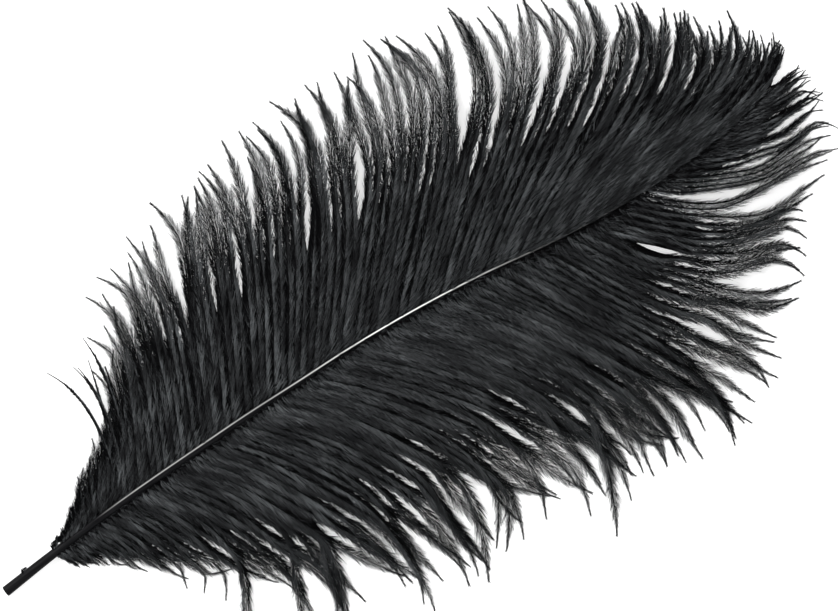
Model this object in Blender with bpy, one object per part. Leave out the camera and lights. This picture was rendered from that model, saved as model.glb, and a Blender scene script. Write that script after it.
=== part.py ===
"""A black ostrich plume lying on a surface: one horn shaft and the two vanes that grow from it.

The frame: +X runs along the shaft from the cut end of the quill to the tip, +Y is the left vane's
side, and +Z is up. The plume rests on z = 0 on the end of its quill and on the rims of both
vanes. Each vane is a thin arched sheet that reaches the tips of its barbs.
"""
from math import cos, radians, sin

import bmesh
import bpy
from mathutils import Vector

MM = 0.001

# The shaft's plan, as (along, across) points in millimetres from the cut end to the thin tip.
SHAFT_PLAN = [(-1, -0.6), (20, 1.0), (50, 2.5), (95, 3.1), (125, 3.2), (150, 2.9), (175, 1.5),
              (205, -1.7), (235, -6.4), (260, -8.9), (285, -9.2), (305, -7.9), (330, -4.2)]
# Its half thickness and the height of its middle above the table, at stations along it.
SHAFT_RADIUS = [(-1, 1.95), (22, 1.65), (60, 1.5), (110, 1.3), (160, 0.95), (220, 0.65),
                (280, 0.45), (330, 0.25)]
SHAFT_HEIGHT = [(-1, 2.05), (22, 3.3), (70, 7.6), (130, 13.0), (180, 15.0), (230, 14.0),
                (285, 9.5), (330, 4.0)]
SHAFT_STEPS = 60
SHAFT_ROUNDNESS = 3

# The vane rims, as barb courses: where the barb leaves the shaft, where its tip lies (along,
# across), and the angles at which it leaves and ends, in degrees turned outwards from +X.
LEFT_COURSES = [(26, 31, 9, 60, 50), (36, 50, 24, 58, 50), (46, 66, 40, 60, 70),
                (58, 79, 57, 60, 85), (76, 100, 75, 60, 85), (98, 132, 83, 58, 72),
                (120, 163, 86, 55, 68), (143, 192, 89, 50, 82), (168, 225, 86, 46, 85),
                (192, 257, 75, 41, 75), (216, 292, 57, 35, 68), (240, 314, 35, 30, 65),
                (264, 329, 17, 24, 55), (288, 338, 5, 16, 35), (324, 342, -1.5, 14, 5)]
RIGHT_COURSES = [(24, 30, -9, 50, 70), (38, 56, -31, 45, 70), (54, 80, -56, 45, 85),
                 (76, 108, -73, 46, 85), (100, 140, -84, 46, 88), (124, 169, -88, 44, 92),
                 (148, 198, -90, 42, 92), (172, 221, -92, 44, 87), (196, 240, -93, 54, 76),
                 (218, 265, -92, 60, 57), (236, 290, -76, 61, 34), (254, 317, -49, 55, 4),
                 (272, 334, -33, 44, -5), (292, 340, -20, 24, 0), (324, 342, -7, 6, 0)]

VANE_THICKNESS = 2.0 * MM
NEIGHBOUR_GAP = 0.35 * MM
BARB_REACH = 0.36       # length of a course's two handles, as a share of root to tip
ROOTS_IN_SHEET = 44     # rows of faces from the quill to the tip
STEPS_IN_BARB = 14      # rows of faces from the shaft to the rim
RIM_DROP = 1.5          # how hard the sheet falls towards its rim
RIM_ARCH = 1.6          # how much it bulges up on the way
RIM_ANGLE = 40          # degrees between faces that meet in a sharp edge

BLACK_HORN = (0.016, 0.016, 0.018, 1.0)
BLACK_BARBS = (0.012, 0.013, 0.015, 1.0)


def smooth_between(stations, x):
    """Read a smooth curve through (station, value, ...) rows at x, as a list of the values."""
    rows = [stations[0]] + list(stations) + [stations[-1]]
    i = 1
    while i < len(rows) - 3 and x > rows[i + 1][0]:
        i += 1
    before, here, there, after = rows[i - 1:i + 3]
    span = there[0] - here[0]
    t = min(max((x - here[0]) / span, 0.0), 1.0)
    values = []
    for k in range(1, len(here)):
        slope_in = (there[k] - before[k]) / max(there[0] - before[0], 1e-6) * span
        slope_out = (after[k] - here[k]) / max(after[0] - here[0], 1e-6) * span
        values.append(here[k] * (2 * t**3 - 3 * t**2 + 1) + slope_in * (t**3 - 2 * t**2 + t)
                      + there[k] * (3 * t**2 - 2 * t**3) + slope_out * (t**3 - t**2))
    return values


def shaft_point(along):
    """The middle of the shaft at a station, in millimetres."""
    across = smooth_between(SHAFT_PLAN, along)[0]
    height = smooth_between(SHAFT_HEIGHT, along)[0]
    return Vector((along, across, height))


def shaft_radius(along):
    return smooth_between(SHAFT_RADIUS, along)[0]


def plain_material(name, colour, roughness):
    material = bpy.data.materials.new(name)
    material.use_nodes = True
    shader = material.node_tree.nodes["Principled BSDF"]
    shader.inputs["Base Color"].default_value = colour
    shader.inputs["Roughness"].default_value = roughness
    shader.inputs["Metallic"].default_value = 0.0
    return material


def make_shaft(collection, material):
    """The quill and rachis: a bevelled curve that thins towards the tip, with filled ends."""
    curve = bpy.data.curves.new("shaft", "CURVE")
    curve.dimensions = "3D"
    curve.bevel_depth = MM
    curve.bevel_resolution = SHAFT_ROUNDNESS
    curve.use_fill_caps = True
    spline = curve.splines.new("POLY")
    spline.points.add(SHAFT_STEPS)
    start, end = SHAFT_PLAN[0][0], SHAFT_PLAN[-1][0]
    for i, point in enumerate(spline.points):
        along = start + (end - start) * i / SHAFT_STEPS
        point.co = (*(shaft_point(along) * MM), 1.0)
        point.radius = shaft_radius(along)
    curve.materials.append(material)
    shaft = bpy.data.objects.new("shaft", curve)
    collection.objects.link(shaft)
    return shaft


def barb_course(courses, side, root, t):
    """A point of the vane's sheet: t runs from 0 at the shaft to 1 at the barb's tip."""
    tip_along, tip_across, leave, arrive = smooth_between(courses, root)
    start = shaft_point(root)
    clear = shaft_radius(root) + NEIGHBOUR_GAP / MM
    start.y += side * clear
    height = start.z
    tip = Vector((tip_along, tip_across, 0))
    start.z = 0
    reach = (tip - start).length * BARB_REACH
    leaving = Vector((cos(radians(leave)), side * sin(radians(leave)), 0)) * reach
    arriving = Vector((cos(radians(arrive)), side * sin(radians(arrive)), 0)) * reach
    point = (start * (1 - t)**3 + (start + leaving) * 3 * t * (1 - t)**2
             + (tip - arriving) * 3 * t**2 * (1 - t) + tip * t**3)
    arch = RIM_ARCH * sin(radians(leave))
    sheet_height = height * (1 - RIM_DROP * t**2 + arch * t * (1 - t))
    point.z = max(sheet_height - VANE_THICKNESS / MM / 2 * (1 - t), 0)
    return point


def make_vane(name, courses, side, collection, material):
    """One vane: a grid of faces drawn out along the barbs and raised by its thickness."""
    bm = bmesh.new()
    bmesh.ops.create_grid(bm, x_segments=ROOTS_IN_SHEET, y_segments=STEPS_IN_BARB, size=0.5)
    first, last = courses[0][0], courses[-1][0]
    for vertex in bm.verts:
        root = first + (last - first) * (vertex.co.x + 0.5)
        t = vertex.co.y + 0.5
        vertex.co = barb_course(courses, side, root, t) * MM
    raised = bmesh.ops.extrude_face_region(bm, geom=bm.faces[:])
    top = [item for item in raised["geom"] if isinstance(item, bmesh.types.BMVert)]
    bmesh.ops.translate(bm, verts=top, vec=(0, 0, VANE_THICKNESS))
    bmesh.ops.recalc_face_normals(bm, faces=bm.faces)
    mesh = bpy.data.meshes.new(name)
    bm.to_mesh(mesh)
    bm.free()
    mesh.shade_smooth()
    mesh.set_sharp_from_angle(angle=radians(RIM_ANGLE))
    mesh.materials.append(material)
    vane = bpy.data.objects.new(name, mesh)
    collection.objects.link(vane)
    return vane


def centre_on_origin(objects):
    """Bring the middle of the plume's outline over the origin, along and across."""
    graph = bpy.context.evaluated_depsgraph_get()
    points = []
    for item in objects:
        shape = item.evaluated_get(graph)
        points += [vertex.co.copy() for vertex in shape.to_mesh().vertices]
        shape.to_mesh_clear()
    middle_x = (min(p.x for p in points) + max(p.x for p in points)) / 2
    middle_y = (min(p.y for p in points) + max(p.y for p in points)) / 2
    for item in objects:
        item.location.x -= middle_x
        item.location.y -= middle_y


def main():
    for item in list(bpy.data.objects):
        bpy.data.objects.remove(item)
    collection = bpy.data.collections.new("ostrich_feather")
    bpy.context.scene.collection.children.link(collection)
    horn = plain_material("black_horn", BLACK_HORN, 0.35)
    barbs = plain_material("black_barbs", BLACK_BARBS, 0.8)
    shaft = make_shaft(collection, horn)
    left_vane = make_vane("left_vane", LEFT_COURSES, 1, collection, barbs)
    right_vane = make_vane("right_vane", RIGHT_COURSES, -1, collection, barbs)
    centre_on_origin([shaft, left_vane, right_vane])


main()
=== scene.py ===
"""The looks of a black ostrich plume: a horn shaft and two vanes of loose, downy barbs."""

from math import cos, pi, radians, sin

import bmesh
import bpy
import numpy as np
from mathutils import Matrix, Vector


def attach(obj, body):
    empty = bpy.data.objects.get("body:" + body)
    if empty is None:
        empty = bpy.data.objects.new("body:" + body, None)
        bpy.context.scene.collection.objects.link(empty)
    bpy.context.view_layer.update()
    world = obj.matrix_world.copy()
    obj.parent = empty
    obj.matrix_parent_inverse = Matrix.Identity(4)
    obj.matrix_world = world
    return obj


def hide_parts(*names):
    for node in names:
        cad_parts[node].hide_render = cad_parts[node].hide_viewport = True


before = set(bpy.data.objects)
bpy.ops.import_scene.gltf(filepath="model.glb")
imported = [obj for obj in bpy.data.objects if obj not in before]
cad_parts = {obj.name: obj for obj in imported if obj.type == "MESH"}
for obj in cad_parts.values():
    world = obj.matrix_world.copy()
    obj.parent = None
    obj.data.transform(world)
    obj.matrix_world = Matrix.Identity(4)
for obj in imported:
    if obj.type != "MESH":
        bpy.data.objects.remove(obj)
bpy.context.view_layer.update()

MM = 0.001
chance = np.random.default_rng(416)

# ---------------------------------------------------------------- the plume's own dimensions
# All in millimetres, along the shaft from the quill's cut end and across it to the left vane.
SHAFT_PLAN = [(-1, -0.6), (20, 1.0), (50, 2.5), (95, 3.1), (125, 3.2), (150, 2.9), (175, 1.5),
              (205, -1.7), (235, -6.4), (260, -8.9), (285, -9.2), (305, -7.9), (330, -4.2)]
SHAFT_RADIUS = [(-1, 1.95), (22, 1.65), (60, 1.5), (110, 1.3), (160, 0.95), (220, 0.65),
                (280, 0.45), (330, 0.25)]
SHAFT_HEIGHT = [(-1, 2.05), (22, 3.3), (70, 7.6), (130, 13.0), (180, 15.0), (230, 14.0),
                (285, 9.5), (330, 4.0)]
SHAFT_START, SHAFT_END = -1, 330

# Barb courses: where a barb leaves the shaft, where its tip lies (along, across), and the angles
# at which it leaves and ends, in degrees turned outwards from +X.
LEFT_COURSES = [(26, 31, 7, 66, 60), (36, 48, 22, 66, 60), (46, 67, 38, 64, 74),
                (58, 79, 57, 62, 88), (76, 99, 76, 60, 85), (98, 132, 84, 58, 76),
                (120, 163, 87, 55, 74), (143, 193, 90, 50, 82), (168, 227, 88, 46, 85),
                (192, 259, 78, 41, 78), (216, 294, 60, 35, 72), (240, 317, 38, 30, 66),
                (264, 332, 20, 24, 55), (288, 340, 10, 18, 40), (324, 342, 4, 22, 36)]
RIGHT_COURSES = [(24, 30, -10, 50, 60), (38, 55, -31, 45, 48), (54, 79, -55, 45, 66),
                 (76, 108, -76, 46, 80), (100, 140, -86, 46, 84), (124, 169, -90, 44, 88),
                 (148, 199, -92, 42, 88), (172, 224, -94, 44, 84), (196, 243, -96, 54, 74),
                 (218, 268, -93, 62, 56), (236, 290, -76, 62, 32), (254, 318, -50, 56, 2),
                 (272, 337, -33, 46, -8), (292, 343, -19, 28, -6), (324, 344, -2.5, 0, -8)]

# How the barbs change along the shaft: the station, then these traits. spacing is to the next
# barb; inner and outer are how far the down reaches inside the vane and near its rim; lean is how
# many degrees it leans out; slack is how far the barbs' ends wander; cover is the share of the
# barb that is matted underneath; slip is how wide its down is near the rim.
TRAITS = ("spacing", "inner", "outer", "lean", "slack", "cover", "slip")
LEFT_GROWTH = [(26, 2.0, 4.5, 5.0, 34, 2.0, 0.5, 0.06), (50, 2.4, 7.0, 7.2, 32, 3.0, 0.5, 0.06),
               (80, 2.8, 7.0, 7.6, 31, 2.8, 0.55, 0.065), (110, 3.0, 7.0, 7.8, 30, 2.6, 0.6, 0.08),
               (150, 3.0, 7.0, 7.8, 29, 2.4, 0.55, 0.08), (175, 3.1, 7.0, 7.6, 28, 2.2, 0.5, 0.08),
               (200, 2.9, 6.8, 7.6, 30, 2.0, 0.55, 0.08), (240, 2.3, 6.5, 7.4, 31, 1.5, 0.75, 0.11),
               (290, 2.0, 4.4, 4.8, 33, 1.2, 0.7, 0.12), (324, 1.7, 2.8, 2.8, 34, 0.9, 0.5, 0.12)]
RIGHT_GROWTH = [(24, 2.0, 4.5, 4.5, 28, 3.0, 0.5, 0.07), (60, 2.4, 7.0, 7.8, 28, 6.0, 0.6, 0.075),
                (120, 2.4, 7.0, 8.6, 28, 6.5, 0.6, 0.075),
                (190, 2.5, 7.0, 8.4, 28, 6.0, 0.55, 0.075),
                (215, 2.7, 6.5, 8.0, 28, 4.0, 0.55, 0.08), (245, 2.6, 6.2, 8.0, 27, 2.2, 0.42, 0.1),
                (258, 2.7, 5.8, 7.6, 27, 1.6, 0.45, 0.1),
                (266, 3.1, 4.4, 6.2, 23, 1.5, 0.05, 0.065),
                (276, 3.1, 4.4, 6.0, 23, 1.5, 0.05, 0.065), (292, 2.6, 4.4, 5.0, 26, 1.5, 0.4, 0.1),
                (324, 1.8, 2.8, 2.8, 28, 1.0, 0.5, 0.12)]

# Partings: the station where neighbouring barbs part, the shares of their length where the gap
# opens and closes, and its width.
LEFT_PARTINGS = [(60, 0.55, 1.1, 3), (90, 0.6, 1.1, 3), (115, 0.6, 1.1, 4), (131, 0.3, 0.75, 1.5),
                 (149, 0.28, 0.9, 8), (163, 0.55, 1.0, 3.5), (182, 0.45, 1.0, 5),
                 (189, 0.25, 0.6, 3), (202, 0.65, 1.1, 3), (211, 0.1, 0.6, 3),
                 (244, 0.65, 1.1, 3)]
RIGHT_PARTINGS = [(116, 0.55, 1.0, 5), (121, 0.62, 1.1, 6), (158, 0.6, 0.9, 4),
                  (174, 0.6, 1.0, 3), (188, 0.68, 1.1, 4), (228, 0.56, 0.84, 4),
                  (235, 0.65, 1.1, 4.5), (243, 0.58, 1.1, 5),
                  (248.5, 0.06, 0.44, 14), (264, 0.36, 1.02, 10), (271.5, 0.03, 0.62, 10),
                  (278, 0.78, 1.1, 3), (280.5, 0.3, 0.7, 4.5), (293, 0.48, 0.92, 5)]

# How the barbs lie together: the fewest and most barbs in a lock and in a tuft, how hard each is
# pulled together at its ends, how far the ends hook back towards the quill (bend), how much they
# curl at random (curl), and how far their last few millimetres turn (nib).
LEFT_HABIT = {"locks": (1, 3), "lock_pull": (0.1, 0.6), "tufts": (3, 7), "tuft_pull": (0.0, 0.05),
              "bend": 3.5, "curl": 1.2, "nib": 2.2}
RIGHT_HABIT = {"locks": (2, 4), "lock_pull": (0.1, 0.6), "tufts": (4, 8), "tuft_pull": (0.0, 0.08),
               "bend": 4.0, "curl": 0.9, "nib": 3.4}
NIB_START = 0.87        # the share of a barb's length where its nib starts

# Single barbs that stray from the rim or grow low on the quill: the station, then the course.
LEFT_STRAYS = [(52, 55.5, 56.5, 66, 119), (54, 64.6, 53, 62, 104), (53, 65.8, 52, 62, 98),
               (52, 70.4, 52, 60, 74), (56, 73.3, 60, 58, 92), (8, 9.5, 2.8, 50, 60),
               (22, 23.5, 5.0, 50, 60), (23, 25.5, 6.0, 50, 60)]
RIGHT_STRAYS = [(22, 26, -8.5, 50, 75), (23, 29, -10.5, 50, 66), (24, 31, -10, 50, 60)]
STRAY_TRAITS = (0.4, 2.4, 2.2, 17, 1.0, 0.9, 0.18)      # in the order of TRAITS

BARB_REACH = 0.36       # length of a course's two handles, as a share of root to tip
RIM_DROP = 1.5          # how hard a barb falls towards its tip
RIM_ARCH = 1.6          # how much it bulges up on the way
FLOOR_CLEAR = 0.35      # the least height of a barb's middle above the table
TABLE_GAP = 0.05        # and of anything at all

BARB_JOINTS = 36        # points along a barb
LENGTH_SPREAD = (0.022, 0.016)      # how ragged single barbs and locks end, as shares of length
LIFT_SPREAD = (0.9, 0.7, 1.0)       # how far single barbs, locks and barbs' ends ride up
WAVE_SIZE = 0.16        # how far a barb waves on its way, for each millimetre of slack
WAVES = 1.6             # how many times it does
TUFT_DRIFT = 0.15       # how far a tuft's end drifts along the rim, for each millimetre of slack
BARB_DRIFT = 0.12       # how far a steady barb's end does
ASTRAY_DRIFT = 0.55     # and one that has gone astray
ASTRAY_CURL = 1.9       # how much more such a barb curls
FULL_CURL = 70          # how long a barb is at least to curl in full
FULL_NIB = 50           # and to turn its nib in full
PARTING_PUSH = 0.4      # how far the nearest barb gives way, as a share of a parting's width
PARTING_REACH = 8       # how far along the shaft barbs give way to it
RIM_PARTING = 0.9       # partings that close past this share of a barb's length,
WIDE_PARTING = 3        # and are at least this wide, also part the locks and tufts
RAMUS_RADIUS = (0.19, 0.17)         # a barb's stem, at its root and its tip
ROOT_DEPTH = 0.6        # how far out a barb's root sits, as a share of the shaft's radius
BANK = 15               # degrees that each barb's down is banked, one side up and one side down
DOWN_PITCH = 0.089      # how close together the down grows on one side of a barb
DOWN_WIDTH = 0.19       # how wide a slip of it is inside the vane
DOWN_CROWD = 0.95       # how it crowds away from the shaft: 1 is not at all
DOWN_KNEE = 0.38        # where a slip of it bends, as a share of its length
INNER_LEAN = 17         # how many degrees it leans out near the shaft
MATTED_STEPS = 24       # points along the matted strip under a barb
MATTED_DROP = 0.8       # how far under the barb it lies near the shaft
MATTED_RIB = 0.42       # half its width where it is only a rib, before it tapers


# ---------------------------------------------------------------- curves and small vector tools
def smooth_rows(rows, x):
    """The values at x, an array, on a smooth curve through (station, value, ...) rows."""
    table = np.array(rows, dtype=float)
    stations, values = table[:, 0], table[:, 1:]
    slopes = np.gradient(values, stations, axis=0)
    x = np.clip(np.asarray(x, dtype=float), stations[0], stations[-1])
    i = np.clip(np.searchsorted(stations, x, side="right") - 1, 0, len(stations) - 2)
    span = (stations[i + 1] - stations[i])[..., None]
    t = (x - stations[i])[..., None] / span
    return (values[i] * (2 * t**3 - 3 * t**2 + 1) + slopes[i] * span * (t**3 - 2 * t**2 + t)
            + values[i + 1] * (3 * t**2 - 2 * t**3) + slopes[i + 1] * span * (t**3 - t**2))


def unit(vectors):
    return vectors / np.maximum(np.linalg.norm(vectors, axis=-1, keepdims=True), 1e-9)


def bump(x):
    """A smooth hill: 1 at x = 0, and 0 from -1 outwards and from 1 outwards."""
    return np.where(np.abs(x) < 1, (1 - np.minimum(np.abs(x), 1)**2)**2, 0)


def rise(x, start, end):
    """A smooth step from 0 at start to 1 at end."""
    t = np.clip((x - start) / (end - start), 0, 1)
    return t * t * (3 - 2 * t)


def shaft_middle(along):
    across = smooth_rows(SHAFT_PLAN, along)[..., 0]
    height = smooth_rows(SHAFT_HEIGHT, along)[..., 0]
    return np.stack([np.asarray(along, dtype=float), across, height], axis=-1)


def shaft_radius(along):
    return smooth_rows(SHAFT_RADIUS, along)[..., 0]


# The plan's zero, the quill's cut end, in the frame's millimetres.
PLAN_ORIGIN = np.array([-170.4, 2.4, 0])


def barb_line(side, root, course, t):
    """Points at shares t along barbs that leave the shaft at root, on (along, across, leave,
    arrive) courses."""
    tip_along, tip_across, leave, arrive = np.moveaxis(course, -1, 0)
    middle = shaft_middle(root)
    radius = shaft_radius(root)
    level = np.zeros_like(radius)
    start = np.stack([middle[..., 0], middle[..., 1] + side * radius * ROOT_DEPTH, level], axis=-1)
    tip = np.stack([tip_along, tip_across, level], axis=-1)
    reach = np.linalg.norm(tip - start, axis=-1) * BARB_REACH

    def handle(angle):
        turned = np.radians(angle)
        return np.stack([np.cos(turned) * reach, side * np.sin(turned) * reach, level], axis=-1)

    u = t[..., None]
    points = (start * (1 - u)**3 + (start + handle(leave)) * 3 * u * (1 - u)**2
              + (tip - handle(arrive)) * 3 * u**2 * (1 - u) + tip * u**3)
    arch = RIM_ARCH * np.sin(np.radians(leave))
    height = middle[..., 2] + radius * ROOT_DEPTH * (1 - t)
    points[..., 2] = height * (1 - RIM_DROP * t**2 + arch * t * (1 - t))
    return points


# ---------------------------------------------------------------- the barbs' centrelines
def spaced_roots(growth, first, last):
    """Stations along the shaft, as far apart as the growth rows say, give or take a little."""
    roots = [first]
    while roots[-1] < last:
        spacing = smooth_rows(growth, roots[-1])[0]
        roots.append(roots[-1] + spacing * chance.uniform(0.75, 1.25))
    return np.array(roots[:-1])


def gathered(roots, sizes, breaks):
    """Group neighbouring barbs, never across a break: each barb's group number and its middle.

    sizes is the fewest and the most barbs in a group.
    """
    fewest, most = sizes
    group = np.zeros(len(roots), dtype=int)
    number = 0
    left = int(chance.integers(fewest, most + 1))
    for k in range(1, len(roots)):
        left -= 1
        parted = any(roots[k - 1] < station <= roots[k] for station in breaks)
        if left <= 0 or parted:
            number += 1
            left = int(chance.integers(fewest, most + 1))
        group[k] = number
    middles = np.array([roots[group == k].mean() for k in range(number + 1)])
    return group, middles[group]


def stray_barbs(strays, side):
    """The single barbs of a stray list, and their traits."""
    rows = np.array(strays)
    root = np.repeat(rows[:, :1], BARB_JOINTS, axis=1)
    t = np.repeat(np.linspace(0, 1, BARB_JOINTS)[None, :], len(rows), axis=0)
    points = barb_line(side, root, np.repeat(rows[:, None, 1:], BARB_JOINTS, axis=1), t)
    traits = np.repeat(np.array([STRAY_TRAITS]), len(rows), axis=0)
    return points, traits


def vane_barbs(courses, side, growth, partings, habit):
    """Every barb of a vane, as rows of points: gathered into locks, parted, curled and ragged.

    The second result is each barb's traits.
    """
    first, last = courses[0][0], courses[-1][0]
    roots = spaced_roots(growth, first, last)
    count = len(roots)
    traits = smooth_rows(growth, roots)
    slack = traits[:, TRAITS.index("slack")]
    breaks = [station for station, opens, closes, width in partings
              if closes >= RIM_PARTING and width >= WIDE_PARTING]
    lock, lock_middle = gathered(roots, habit["locks"], breaks)
    tuft, tuft_middle = gathered(roots, habit["tufts"], breaks)
    locks, tufts = lock.max() + 1, tuft.max() + 1
    t = np.linspace(0, 1, BARB_JOINTS)[None, :]
    root = roots[:, None]

    lock_pull = chance.uniform(*habit["lock_pull"], locks)[lock][:, None]
    tuft_pull = chance.uniform(*habit["tuft_pull"], tufts)[tuft][:, None]
    closing = rise(t, 0.3, 0.8) - 0.5 * rise(t, 0.85, 1.0)
    family = root + (lock_middle[:, None] - root) * lock_pull * closing
    family = family + (tuft_middle[:, None] - root) * tuft_pull * rise(t, 0.35, 0.85)
    astray = chance.random(count) < 0.1 + 0.05 * slack
    drift = TUFT_DRIFT * chance.normal(0, 1, tufts)[tuft]
    loose = np.where(astray, ASTRAY_DRIFT, BARB_DRIFT)
    drift = slack * (drift + chance.normal(0, 1, count) * loose)
    family = family + drift[:, None] * rise(t, 0.55, 1.0)
    wave = chance.uniform(0, 2 * pi, count)[:, None]
    swing = WAVE_SIZE * slack[:, None] * rise(t, 0.1, 0.6)
    family = family + swing * np.sin(2 * pi * WAVES * t + wave)
    for station, opens, closes, width in partings:
        away = root - station
        push = np.sign(away) * np.exp(-np.abs(away) / PARTING_REACH) * width * PARTING_PUSH
        family = family + push * bump((t - (opens + closes) / 2) / ((closes - opens) / 2))
    points = barb_line(side, np.repeat(root, BARB_JOINTS, axis=1), smooth_rows(courses, family),
                       np.repeat(t, count, axis=0))

    # Ragged ends: each barb and each lock is a little longer or shorter than its course.
    span = points[:, -1] - points[:, 0]
    length = np.linalg.norm(span, axis=-1)
    barb_spread, lock_spread = LENGTH_SPREAD
    extra = chance.normal(-0.002, barb_spread, count)
    extra = extra + chance.normal(0, lock_spread, locks)[lock]
    points = points + span[:, None, :] * (extra[:, None] * t**2)[..., None]

    # Hooked and curled ends, across the barb's own run. Some stray further, and start sooner.
    run = unit(span)
    across = np.stack([-run[:, 1], run[:, 0], np.zeros(count)], axis=-1) * side
    turn = chance.normal(0, 1, count) + 0.5 * chance.normal(0, 1, locks)[lock]
    turn = turn * slack * habit["curl"] * np.where(astray, ASTRAY_CURL, 1)
    turn = turn * np.minimum(length / FULL_CURL, 1)
    hook = habit["bend"] * chance.uniform(0.3, 1.7, count)
    hook = hook * np.clip(length / FULL_CURL - 0.3, 0, 1)
    start = chance.uniform(0.68, 0.84, count) - 0.2 * astray
    curl = np.clip((t - start[:, None]) / (1 - start[:, None]), 0, 1)**2
    shift = turn[:, None] * curl + hook[:, None] * (curl - t**3)
    points = points + across[:, None, :] * shift[..., None]

    # Height: barbs ride over and under each other, and their ends lie on the table.
    barb_lift, lock_lift, end_lift = LIFT_SPREAD
    lift = chance.normal(0, barb_lift, count) + chance.normal(0, lock_lift, locks)[lock]
    height = points[..., 2] + lift[:, None] * rise(t, 0.25, 0.9)
    height = height + np.abs(chance.normal(0, end_lift, count))[:, None] * rise(t, 0.6, 1)
    points[..., 2] = FLOOR_CLEAR + np.logaddexp(0, height - FLOOR_CLEAR)

    # Nibs: the last few millimetres turn again, with the hook or against it.
    nib = habit["nib"] * chance.normal(0.25, 1, count)
    nib = nib * np.clip(length / FULL_NIB - 0.3, 0, 1)
    late = np.clip((t - NIB_START) / (1 - NIB_START), 0, 1)**1.6
    points = points + across[:, None, :] * (nib[:, None] * late)[..., None]
    return points, traits


def frames_along(points):
    """The run, sideways and upward unit vectors at each point of each barb."""
    run = unit(np.gradient(points, axis=1))
    up = np.array([0.0, 0.0, 1.0])
    sideways = unit(np.cross(up, run))
    upward = np.cross(run, sideways)
    return run, sideways, upward


# ---------------------------------------------------------------- meshes from arrays
def mesh_piece(name, points, triangles, strip, lay, material):
    """A mesh object from arrays of points in millimetres, triangles and bake-map places.

    lay is each point's place across its barb and sets its painted light and shade: 0 at the sunken
    side, painted near black as shade; 1 at the raised side, painted lighter as if lit.
    """
    points = (points + PLAN_ORIGIN) * MM
    points[:, 2] = np.maximum(points[:, 2], TABLE_GAP * MM)
    mesh = bpy.data.meshes.new(name)
    mesh.vertices.add(len(points))
    mesh.vertices.foreach_set("co", points.astype(np.float32).ravel())
    mesh.loops.add(triangles.size)
    mesh.loops.foreach_set("vertex_index", triangles.astype(np.int32).ravel())
    mesh.polygons.add(len(triangles))
    mesh.polygons.foreach_set("loop_start", np.arange(0, triangles.size, 3, dtype=np.int32))
    mesh.update(calc_edges=True)
    layer = mesh.uv_layers.new(name="OFBake")
    layer.data.foreach_set("uv", strip[triangles.ravel()].astype(np.float32).ravel())
    mesh.attributes.new("lay", "FLOAT", "POINT").data.foreach_set("value", lay.astype(np.float32))
    mesh.materials.append(material)
    piece = bpy.data.objects.new(name, mesh)
    bpy.context.scene.collection.objects.link(piece)
    return piece


def rami(points, thickness, band):
    """The barbs' stems: three-sided tapering tubes. band is each barb's place in the bake map."""
    count, joints = points.shape[:2]
    run, sideways, upward = frames_along(points)
    t = np.linspace(0, 1, joints)
    thick, thin = RAMUS_RADIUS
    radius = ((thick + (thin - thick) * t**0.8) * thickness[:, None])[..., None]
    corners = []
    for angle in (pi / 2, pi * 7 / 6, pi * 11 / 6):
        corners.append(points + radius * (cos(angle) * sideways + sin(angle) * upward))
    ring = np.stack(corners, axis=2)
    places = np.zeros((count, joints, 3, 2))
    places[..., 0] = t[None, :, None]
    places[..., 1] = band[:, None, None] + np.array([0.0, -0.08, 0.08])
    index = np.arange(count * joints * 3).reshape(count, joints, 3)
    faces = []
    for side in range(3):
        a = index[:, :-1, side]
        b = index[:, :-1, (side + 1) % 3]
        c = index[:, 1:, (side + 1) % 3]
        d = index[:, 1:, side]
        faces.append(np.stack([a, b, c], axis=-1).reshape(-1, 3))
        faces.append(np.stack([a, c, d], axis=-1).reshape(-1, 3))
    faces.append(index[:, 0, ::-1].reshape(-1, 3))
    faces.append(index[:, -1].reshape(-1, 3))
    # lay 0: the stems take the same near black as the painted shade on a barb's sunken side.
    lay = np.zeros(count * joints * 3)
    return ring.reshape(-1, 3), np.concatenate(faces), places.reshape(-1, 2), lay


def matting(points, spacing, cover, band):
    """A matted strip of the shortest down under each barb, painted near black as shade, which keeps
    light from coming through.

    It is as wide as the barbs are apart near the shaft, and narrows to a mere rib where the share
    cover of the barb is reached.
    """
    count, joints = points.shape[:2]
    run, sideways, upward = frames_along(points)
    share = np.linspace(0, 0.97, MATTED_STEPS)[None, :]
    at = np.repeat((share * (joints - 1)).round().astype(int), count, axis=0)
    barb = np.arange(count)[:, None]
    narrowed = rise(share, cover[:, None] * 0.6, cover[:, None] * 1.2)
    half = (spacing[:, None] * 0.75 * (1 - narrowed) + MATTED_RIB * (1 - 0.7 * share))
    drop = (MATTED_DROP * (1 - narrowed) + 0.2)[..., None]
    middle = points[barb, at] - upward[barb, at] * drop
    out = sideways[barb, at] * half[..., None]
    corners = np.stack([middle - out, middle + out], axis=2)
    places = np.zeros((count, MATTED_STEPS, 2, 2))
    places[..., 0] = share[..., None]
    places[..., 1] = band[:, None, None] + np.array([-0.04, 0.04])
    index = np.arange(count * MATTED_STEPS * 2).reshape(count, MATTED_STEPS, 2)
    near, far = index[:, :-1], index[:, 1:]
    faces = [np.stack([near[..., 0], far[..., 0], far[..., 1]], axis=-1).reshape(-1, 3),
             np.stack([near[..., 0], far[..., 1], near[..., 1]], axis=-1).reshape(-1, 3)]
    # lay 0: the whole strip takes the near-black painted shade.
    lay = np.zeros(index.size)
    return corners.reshape(-1, 3), np.concatenate(faces), places.reshape(-1, 2), lay


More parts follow.
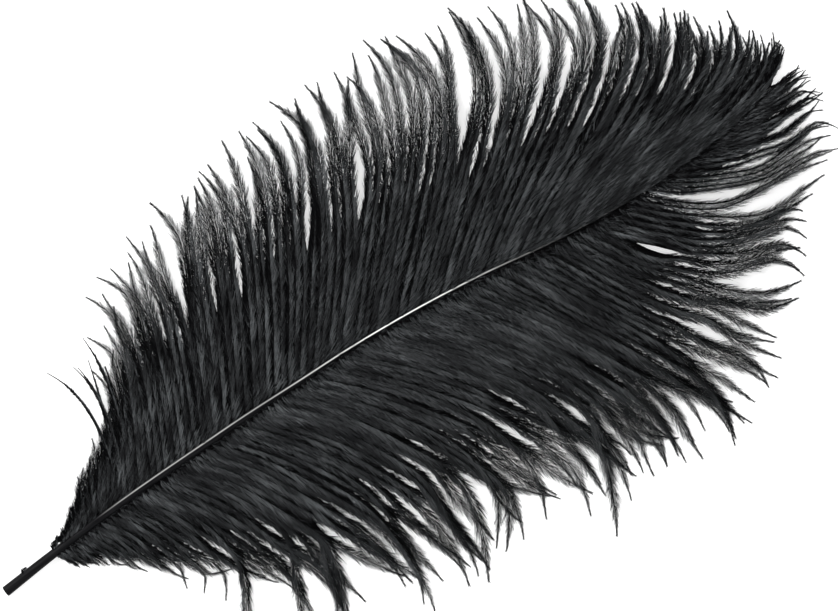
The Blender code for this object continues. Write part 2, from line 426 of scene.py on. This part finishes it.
def barbules(points, band, traits):
    """The barbs' down: bent, pointed slips that leave both sides of each stem.

    traits holds, for each barb, how far its down reaches inside the vane (inner) and near the rim
    (outer), how many degrees it leans out (lean), how wide a slip is near the rim (slip), and
    over what length the barb's end is bare (bare).
    """
    count, joints = points.shape[:2]
    run, sideways, upward = frames_along(points)
    steps = np.linalg.norm(np.diff(points, axis=1), axis=-1)
    gone = np.concatenate([np.zeros((count, 1)), np.cumsum(steps, axis=1)], axis=1)
    length = gone[:, -1]
    many = np.maximum((length / DOWN_PITCH).astype(int), 4) * 2
    barb = np.repeat(np.arange(count), many)
    total = len(barb)
    order = np.arange(total) - np.repeat(np.cumsum(many) - many, many)
    hand = np.where(order % 2 == 0, 1.0, -1.0)
    share = ((order + chance.uniform(0, 1, total)) / many[barb])**DOWN_CROWD
    share = np.clip(share, 0.002, 0.998)
    known = (np.arange(count)[:, None] + gone / length[:, None]).ravel()
    places = (np.arange(count)[:, None] * joints + np.arange(joints)).ravel()
    at = np.clip(np.interp(barb + share, known, places) - barb * joints, 0, joints - 1.001)
    low = at.astype(int)
    past = (at - low)[:, None]

    def along(values):
        return values[barb, low] * (1 - past) + values[barb, low + 1] * past

    foot, run, sideways, upward = along(points), along(run), along(sideways), along(upward)
    start_gap = share * length[barb]
    end_gap = (1 - share) * length[barb]

    # Down that grows close together lies together, in small wisps.
    phase = chance.uniform(0, 2 * pi, (2, count))[:, barb]
    wisp = (np.sin(start_gap * 1.7 + phase[0] * hand)
            + 0.8 * np.sin(start_gap * 0.6 + phase[1] * hand))
    inner, outer = traits["inner"][barb], traits["outer"][barb]
    matted = traits["cover"][barb]
    rimward = rise(share, matted * 0.9, matted + 0.25)
    reach = inner + (outer - inner) * rimward
    reach = reach * rise(start_gap, -12, 5) * (0.16 + 0.84 * rise(end_gap, 0, traits["bare"][barb]))
    reach = np.minimum(reach, 0.35 * length[barb])
    reach = reach * (1 + 0.09 * wisp) * chance.uniform(0.5, 1.15, total)
    sweep = INNER_LEAN + (traits["lean"][barb] - INNER_LEAN) * rimward
    sweep = sweep * (1 - rimward * chance.uniform(-0.1, 0.7, total))
    sweep = sweep * (1 + 1.4 * (1 - rise(start_gap, 0, 7))) + 2.5 * wisp
    sweep = np.radians(sweep + chance.normal(0, 4.5, total))
    tilt = chance.normal(0, 0.2, total) - radians(BANK) * hand
    out = (np.cos(tilt) * hand)[:, None] * sideways + np.sin(tilt)[:, None] * upward
    first = np.cos(sweep * 1.25)[:, None] * run + np.sin(sweep * 1.25)[:, None] * out
    second = np.cos(sweep * 0.7)[:, None] * run + np.sin(sweep * 0.7)[:, None] * out
    second = unit(second + chance.normal(0, 0.06, (total, 3)))
    facing = unit(upward + sin(radians(BANK)) * sideways + chance.normal(0, 0.2, (total, 3)))
    width = DOWN_WIDTH + (traits["slip"][barb] - DOWN_WIDTH) * rimward
    width = width * chance.uniform(0.6, 1.4, total)
    blade = unit(np.cross(facing, first)) * (width / 2)[:, None]
    knee = foot + first * (reach * DOWN_KNEE)[:, None]
    tips = knee + second * (reach * (1 - DOWN_KNEE))[:, None]
    corners = np.stack([foot, knee - blade, knee + blade, tips], axis=1)
    places = np.zeros((total, 4, 2))
    places[..., 0] = share[:, None] + np.array([0, 0.006, 0.006, 0.012])
    places[..., 1] = band[barb][:, None] + hand[:, None] * np.array([0.05, 0.2, 0.24, 0.42])
    places[..., 1] += chance.uniform(-0.12, 0.12, total)[:, None]
    # Painted light and shade: slips on a barb's raised side are painted lighter, as if lit, and
    # those on its sunken side near black, as if in shade, most of all towards their tips.
    painted_light_share = 0.5 - 0.5 * hand[:, None] * np.array([0.1, 0.6, 0.6, 1.0])
    lay = np.clip(painted_light_share + chance.normal(0, 0.25, total)[:, None], 0, 1)
    index = np.arange(total * 4).reshape(total, 4)
    faces = np.concatenate([index[:, [0, 1, 2]], index[:, [1, 3, 2]]])
    return corners.reshape(-1, 3), faces, places.reshape(-1, 2), lay.ravel()


def fibre_piece(name, points, rows, material):
    """One piece of a vane: the stems and down of a run of barbs, and their rows of traits."""
    count = len(points)
    band = np.arange(count) + 0.5
    traits = dict(zip(TRAITS, rows.T))
    length = np.linalg.norm(np.diff(points, axis=1), axis=-1).sum(axis=1)
    traits["bare"] = np.minimum(18 + 0.8 * traits["slack"], length * 0.42)
    fullness = chance.uniform(0.85, 1.1, count)
    traits["inner"] = traits["inner"] * fullness
    traits["outer"] = traits["outer"] * fullness
    parts = [rami(points, chance.uniform(0.8, 1.15, count), band),
             matting(points, traits["spacing"], traits["cover"], band),
             barbules(points, band, traits)]
    corners = np.concatenate([part[0] for part in parts])
    offsets = np.cumsum([0] + [len(part[0]) for part in parts[:-1]])
    faces = np.concatenate([part[1] + offset for part, offset in zip(parts, offsets)])
    places = np.concatenate([part[2] for part in parts])
    lay = np.concatenate([part[3] for part in parts])
    places[:, 0] = places[:, 0] * 0.97 + 0.01
    places[:, 1] /= count
    return mesh_piece(name, corners, faces, places, lay, material)


# ---------------------------------------------------------------- materials
def new_material(name):
    material = bpy.data.materials.new(name)
    material.use_nodes = True
    nodes, links = material.node_tree.nodes, material.node_tree.links
    return material, nodes, links, nodes["Principled BSDF"]


def ramp(nodes, stops):
    node = nodes.new("ShaderNodeValToRGB")
    elements = node.color_ramp.elements
    while len(elements) < len(stops):
        elements.new(0.5)
    for element, (place, colour) in zip(elements, stops):
        element.position = place
        element.color = (*colour, 1)
    return node


def dyed_barbs_with_painted_shade():
    """Black-dyed down with painted light and shade: near black on a barb's sunken side as painted
    shade, greyer and streaked on the other as if lit.
    """
    material, nodes, links, shader = new_material("dyed_barbs_with_painted_shade")
    strip = nodes.new("ShaderNodeUVMap")
    strip.uv_map = "OFBake"
    stretch = nodes.new("ShaderNodeMapping")
    stretch.inputs["Scale"].default_value = (5, 110, 1)
    streaks = nodes.new("ShaderNodeTexNoise")
    streaks.inputs["Scale"].default_value = 1.0
    streaks.inputs["Detail"].default_value = 3
    tone = ramp(nodes, [(0.32, (0.005, 0.005, 0.0055)), (0.5, (0.029, 0.0305, 0.032)),
                        (0.7, (0.11, 0.117, 0.122))])
    lay = nodes.new("ShaderNodeAttribute")
    lay.attribute_name = "lay"
    # Painted light and shade: where lay is low the down takes the near-black painted shade, and
    # where it is high the lit, streaked tone.
    painted_light_share = ramp(nodes, [(0.35, (0, 0, 0)), (0.8, (1, 1, 1))])
    mix = nodes.new("ShaderNodeMix")
    mix.data_type = "RGBA"
    # the near black of the painted shade
    mix.inputs["A"].default_value = (0.0014, 0.0014, 0.0016, 1)
    links.new(strip.outputs["UV"], stretch.inputs["Vector"])
    links.new(stretch.outputs["Vector"], streaks.inputs["Vector"])
    links.new(streaks.outputs["Fac"], tone.inputs["Fac"])
    links.new(lay.outputs["Fac"], painted_light_share.inputs["Fac"])
    links.new(painted_light_share.outputs["Color"], mix.inputs["Factor"])
    links.new(tone.outputs["Color"], mix.inputs["B"])
    links.new(mix.outputs["Result"], shader.inputs["Base Color"])
    shader.inputs["Roughness"].default_value = 0.6
    shader.inputs["Specular IOR Level"].default_value = 0.01
    return material


def plain_studio_floor():
    material, nodes, links, shader = new_material("studio_floor")
    place = nodes.new("ShaderNodeTexCoord")
    mottle = nodes.new("ShaderNodeTexNoise")
    mottle.inputs["Scale"].default_value = 6.0
    white = ramp(nodes, [(0.0, (0.56, 0.56, 0.56)), (1.0, (0.58, 0.58, 0.58))])
    links.new(place.outputs["Object"], mottle.inputs["Vector"])
    links.new(mottle.outputs["Fac"], white.inputs["Fac"])
    links.new(white.outputs["Color"], shader.inputs["Base Color"])
    shader.inputs["Roughness"].default_value = 0.9
    shader.inputs["Specular IOR Level"].default_value = 0.1
    shader.inputs["Emission Color"].default_value = (1, 1, 1, 1)
    shader.inputs["Emission Strength"].default_value = 0.72
    return material


# ---------------------------------------------------------------- the shaft
SHAFT_SIDES = 32
SHAFT_RINGS = 220
QUILL_WALL = 0.34       # the wall of the quill's cut end, as a share of its radius
BORE_DEPTH = 2.5        # how deep the cut end is hollow
QUILL_BEVEL = 0.12


def make_shaft(material):
    """The quill and rachis: a capped rod drawn out along the shaft's course and given its section.

    The quill is round. Along the rachis the sides flatten, a low crest runs along the top, and a
    groove runs along the underside.
    """
    shape = bmesh.new()
    bmesh.ops.create_cone(shape, cap_ends=True, segments=SHAFT_SIDES, radius1=1, radius2=1, depth=1)
    lengthwise = [edge for edge in shape.edges
                  if abs(edge.verts[0].co.z - edge.verts[1].co.z) > 0.5]
    bmesh.ops.subdivide_edges(shape, edges=lengthwise, cuts=SHAFT_RINGS, use_grid_fill=True)
    quill_cap = min(shape.faces, key=lambda face: face.calc_center_median().z)
    bmesh.ops.inset_region(shape, faces=[quill_cap], thickness=QUILL_WALL)
    ridge = shape.verts.layers.float.new("ridge")
    station = shape.verts.layers.float.new("station")
    bore_verts = set(quill_cap.verts)
    for vertex in shape.verts:
        share = min(max(vertex.co.z + 0.5, 0), 1)
        along = SHAFT_START + (SHAFT_END - SHAFT_START) * share
        angle = np.arctan2(vertex.co.y, vertex.co.x)
        out = np.hypot(vertex.co.x, vertex.co.y)
        middle = shaft_middle(along)
        slope = unit(shaft_middle(along + 0.5) - shaft_middle(along - 0.5))
        sideways = unit(np.cross((0, 0, 1), slope))
        upward = np.cross(slope, sideways)
        radius = shaft_radius(along)
        horned = rise(along, 20, 60)
        crest_angle = radians(90 - 28 * (1 - rise(along, 100, 140)))
        off_crest = np.angle(np.exp(1j * (angle - crest_angle)))
        crest = np.exp(-(off_crest / 0.45)**2)
        groove = np.exp(-(np.angle(np.exp(1j * (angle + pi / 2))) / 0.35)**2)
        section = 1 + horned * (0.1 * crest - 0.25 * groove + 0.06 * np.cos(4 * angle + pi))
        across = -cos(angle) * radius * section * out
        climb = sin(angle) * radius * section * out
        if vertex in bore_verts:
            middle = middle + slope * BORE_DEPTH
        place = middle + sideways * -across + upward * climb + PLAN_ORIGIN
        vertex[ridge] = 1 - abs(off_crest) * radius
        vertex[station] = along
        vertex.co = Vector(place) * MM
    bmesh.ops.recalc_face_normals(shape, faces=shape.faces)
    rim = [edge for edge in shape.edges if edge.calc_face_angle(0) > radians(50)
           and edge.verts[0].co.x < (PLAN_ORIGIN[0] + 4) * MM]
    bmesh.ops.bevel(shape, geom=rim, offset=QUILL_BEVEL * MM, segments=2, profile=0.5,
                    affect="EDGES", material=-1)
    mesh = bpy.data.meshes.new("horn_shaft")
    shape.to_mesh(mesh)
    shape.free()
    mesh.shade_smooth()
    mesh.materials.append(material)
    shaft = bpy.data.objects.new("horn_shaft", mesh)
    bpy.context.scene.collection.objects.link(shaft)
    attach(shaft, "root")
    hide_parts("shaft")
    return shaft


def dyed_horn_with_painted_highlight():
    """Black-dyed horn, satin, with fine lengthwise grain and a painted highlight: a pale line along
    its crest.
    """
    material, nodes, links, shader = new_material("dyed_horn_with_painted_highlight")
    place = nodes.new("ShaderNodeTexCoord")
    stretch = nodes.new("ShaderNodeMapping")
    stretch.inputs["Scale"].default_value = (60, 1500, 1500)
    grain = nodes.new("ShaderNodeTexNoise")
    grain.inputs["Scale"].default_value = 1.0
    grain.inputs["Detail"].default_value = 4
    black = ramp(nodes, [(0.3, (0.002, 0.002, 0.0025)), (0.7, (0.01, 0.01, 0.011))])
    crest = nodes.new("ShaderNodeAttribute")
    crest.attribute_name = "ridge"
    # the painted highlight's narrow band across the crest
    edge = ramp(nodes, [(0.68, (0, 0, 0)), (0.84, (1, 1, 1))])
    station = nodes.new("ShaderNodeAttribute")
    station.attribute_name = "station"
    run = nodes.new("ShaderNodeMath")
    run.operation = "DIVIDE"
    run.inputs[1].default_value = 350
    # Painted highlight along the crest: faint near the quill, brightest about 170 to 190 mm along
    # the shaft, fading towards the tip.
    crest_highlight_along = ramp(nodes, [(0.12, (0.0, 0.0, 0.0)), (0.16, (0.28, 0.28, 0.28)),
                        (0.27, (0.32, 0.32, 0.32)), (0.33, (0.25, 0.25, 0.25)),
                        (0.43, (0.6, 0.6, 0.6)), (0.48, (0.95, 0.95, 0.95)),
                        (0.54, (0.85, 0.85, 0.85)), (0.61, (0.25, 0.25, 0.25)),
                        (0.67, (0.12, 0.12, 0.12)), (1.0, (0.05, 0.05, 0.05))])
    shown = nodes.new("ShaderNodeMath")
    shown.operation = "MULTIPLY"
    mix = nodes.new("ShaderNodeMix")
    mix.data_type = "RGBA"
    # the painted highlight's pale colour
    mix.inputs["B"].default_value = (0.88, 0.88, 0.86, 1)
    links.new(place.outputs["Object"], stretch.inputs["Vector"])
    links.new(stretch.outputs["Vector"], grain.inputs["Vector"])
    links.new(grain.outputs["Fac"], black.inputs["Fac"])
    links.new(crest.outputs["Fac"], edge.inputs["Fac"])
    links.new(station.outputs["Fac"], run.inputs[0])
    links.new(run.outputs["Value"], crest_highlight_along.inputs["Fac"])
    links.new(edge.outputs["Color"], shown.inputs[0])
    links.new(crest_highlight_along.outputs["Color"], shown.inputs[1])
    links.new(shown.outputs["Value"], mix.inputs["Factor"])
    links.new(black.outputs["Color"], mix.inputs["A"])
    links.new(mix.outputs["Result"], shader.inputs["Base Color"])
    shader.inputs["Roughness"].default_value = 0.45
    shader.inputs["Specular IOR Level"].default_value = 0.05
    bump_node = nodes.new("ShaderNodeBump")
    bump_node.inputs["Strength"].default_value = 0.25
    bump_node.inputs["Distance"].default_value = 0.0001
    links.new(grain.outputs["Fac"], bump_node.inputs["Height"])
    links.new(bump_node.outputs["Normal"], shader.inputs["Normal"])
    return material


make_shaft(dyed_horn_with_painted_highlight())

# ---------------------------------------------------------------- the vanes
barb_material = dyed_barbs_with_painted_shade()
for name, courses, side, growth, partings, strays, habit in (
        ("left", LEFT_COURSES, 1, LEFT_GROWTH, LEFT_PARTINGS, LEFT_STRAYS, LEFT_HABIT),
        ("right", RIGHT_COURSES, -1, RIGHT_GROWTH, RIGHT_PARTINGS, RIGHT_STRAYS, RIGHT_HABIT)):
    barbs = [stray_barbs(strays, side), vane_barbs(courses, side, growth, partings, habit)]
    points = np.concatenate([points for points, traits in barbs])
    traits = np.concatenate([traits for points, traits in barbs])
    grown = np.cumsum(np.linalg.norm(np.diff(points, axis=1), axis=-1).sum(axis=1))
    thirds = np.searchsorted(grown, grown[-1] * np.array([1 / 3, 2 / 3]))
    parts = np.split(np.arange(len(points)), thirds)
    for part_name, rows in zip(("base", "middle", "tip"), parts):
        piece = fibre_piece(f"{name}_vane_{part_name}_barbs", points[rows], traits[rows],
                            barb_material)
        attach(piece, "root")
        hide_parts(f"{name}_vane")

# ---------------------------------------------------------------- stage, light and camera
FLOOR_HALF = 3          # metres from the floor's middle to its edges
LIGHT_PLACE = (-0.25, 0.75, 0.9)
LIGHT_SIZE = 0.5
LIGHT_POWER = 14
SKY_STRENGTH = 0.75
PICTURE_TURN = 34       # degrees that the shaft climbs in the picture
VIEW_WIDTH = 0.3017     # metres of the table, across the picture
VIEW_MIDDLE = (180.8, 1.6)          # the plan's point in the picture's middle
CAMERA_HEIGHT = 1.4
VANE_HEIGHT = 0.008     # the height at which the picture is that wide
SENSOR_WIDTH = 36

floor_mesh = bpy.data.meshes.new("floor")
floor_shape = bmesh.new()
bmesh.ops.create_grid(floor_shape, x_segments=1, y_segments=1, size=FLOOR_HALF)
floor_shape.to_mesh(floor_mesh)
floor_shape.free()
floor_mesh.materials.append(plain_studio_floor())
floor = bpy.data.objects.new("floor", floor_mesh)
bpy.context.scene.collection.objects.link(floor)

world = bpy.data.worlds.new("studio")
world.use_nodes = True
world.node_tree.nodes["Background"].inputs["Color"].default_value = (1, 1, 1, 1)
world.node_tree.nodes["Background"].inputs["Strength"].default_value = SKY_STRENGTH
bpy.context.scene.world = world

light_data = bpy.data.lights.new("softbox", "AREA")
light_data.energy = LIGHT_POWER
light_data.size = LIGHT_SIZE
light = bpy.data.objects.new("softbox", light_data)
light.location = LIGHT_PLACE
light.rotation_euler = (-light.location).to_track_quat("-Z", "Y").to_euler()
bpy.context.scene.collection.objects.link(light)

camera_data = bpy.data.cameras.new("camera")
camera_data.sensor_width = SENSOR_WIDTH
camera_data.lens = SENSOR_WIDTH * (CAMERA_HEIGHT - VANE_HEIGHT) / VIEW_WIDTH
camera = bpy.data.objects.new("camera", camera_data)
camera.location = ((VIEW_MIDDLE[0] + PLAN_ORIGIN[0]) * MM, (VIEW_MIDDLE[1] + PLAN_ORIGIN[1]) * MM,
                   CAMERA_HEIGHT)
camera.rotation_euler = (0, 0, radians(-PICTURE_TURN))
bpy.context.scene.collection.objects.link(camera)
bpy.context.scene.camera = camera
bpy.context.scene.view_settings.view_transform = "Standard"
